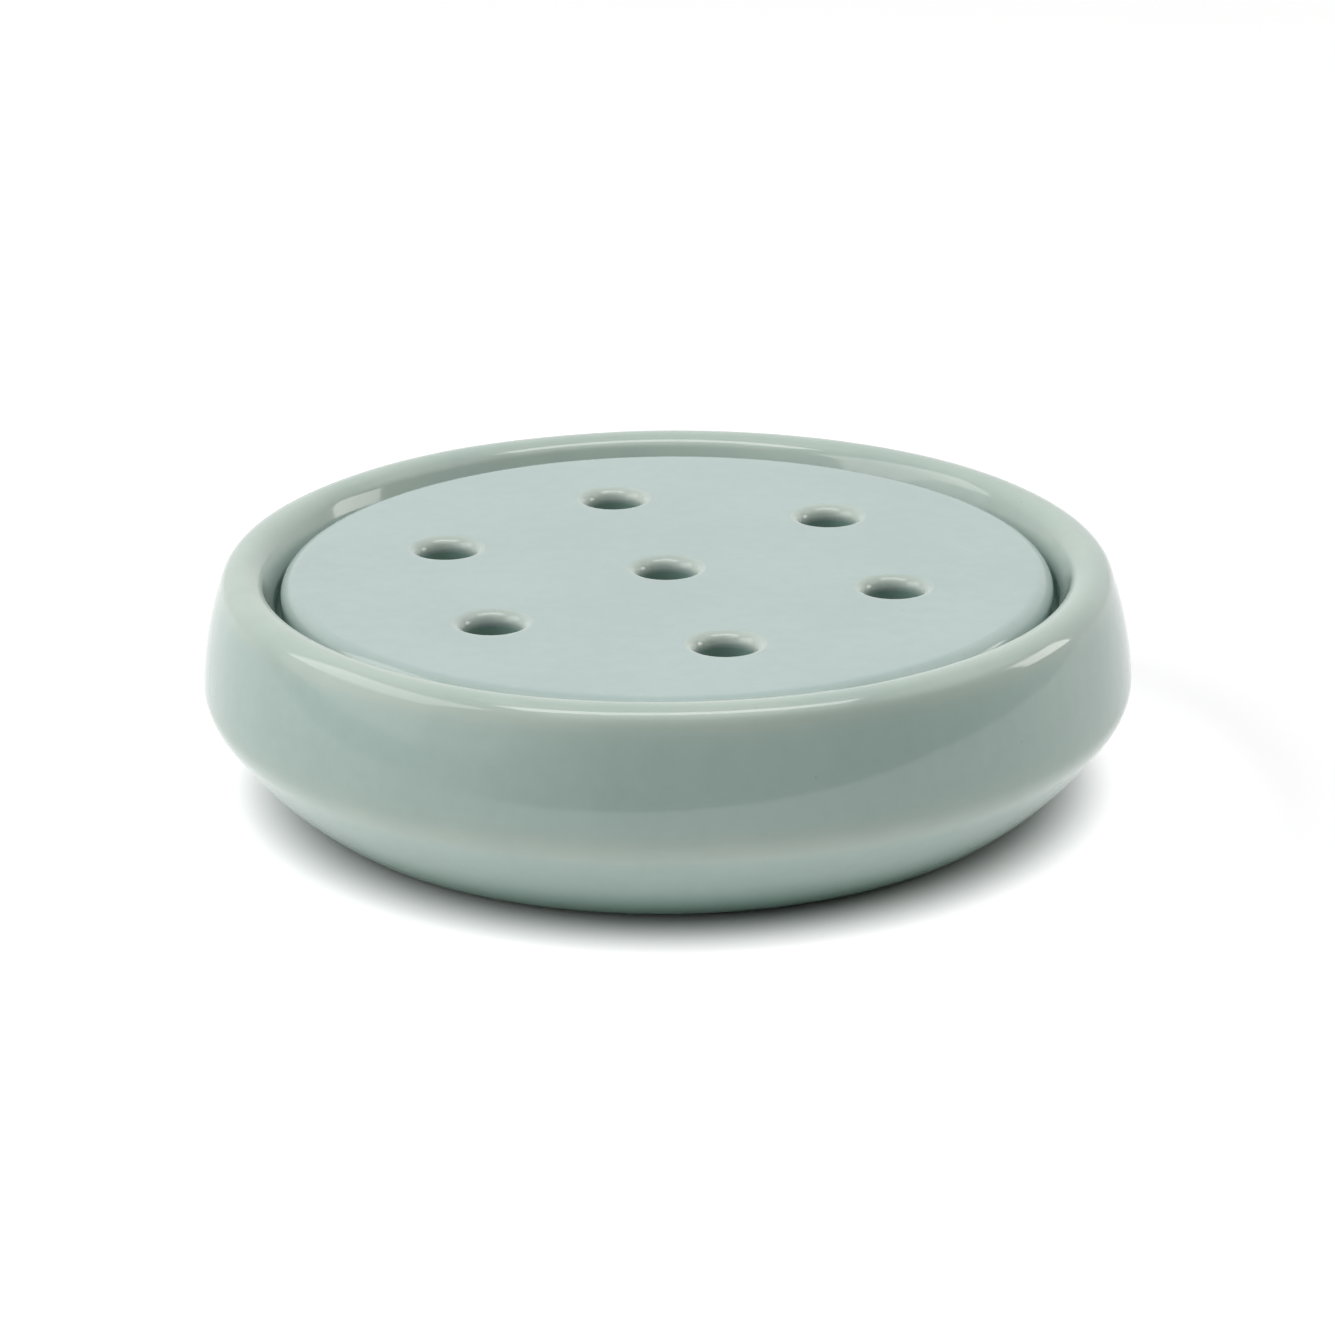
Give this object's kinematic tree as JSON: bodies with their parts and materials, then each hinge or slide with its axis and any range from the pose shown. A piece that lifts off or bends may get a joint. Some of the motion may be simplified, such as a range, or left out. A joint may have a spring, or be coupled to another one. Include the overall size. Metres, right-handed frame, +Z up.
{
  "type": "flower frog",
  "caption": "Low round glazed ceramic bowl for water, with a loose perforated disc inside its rim that holds flower stems upright.",
  "frame": {"origin": "on the bowl's axis, in the plane that its foot ring stands on", "axes": "+Z up along the bowl's axis, through the middle stem hole; X and Y are horizontal, and the bowl is round about Z"},
  "size_m": [0.12, 0.12, 0.03],
  "materials": {
    "bowl_glaze": "pale celadon gloss glaze, thinner and warmer on the edges; the foot ring is bare clay",
    "disc_glaze": "pale celadon gloss glaze, thinner and warmer round the holes"
  },
  "bodies": {
    "bowl": {"bowl": "bowl_glaze"},
    "disc": {"stem_disc": "disc_glaze"}
  },
  "joints": [
    {"name": "disc_lift", "type": "slide", "parent": "bowl", "child": "disc", "axis": [0, 0, 1], "range_m": [0, 0.04]}
  ]
}
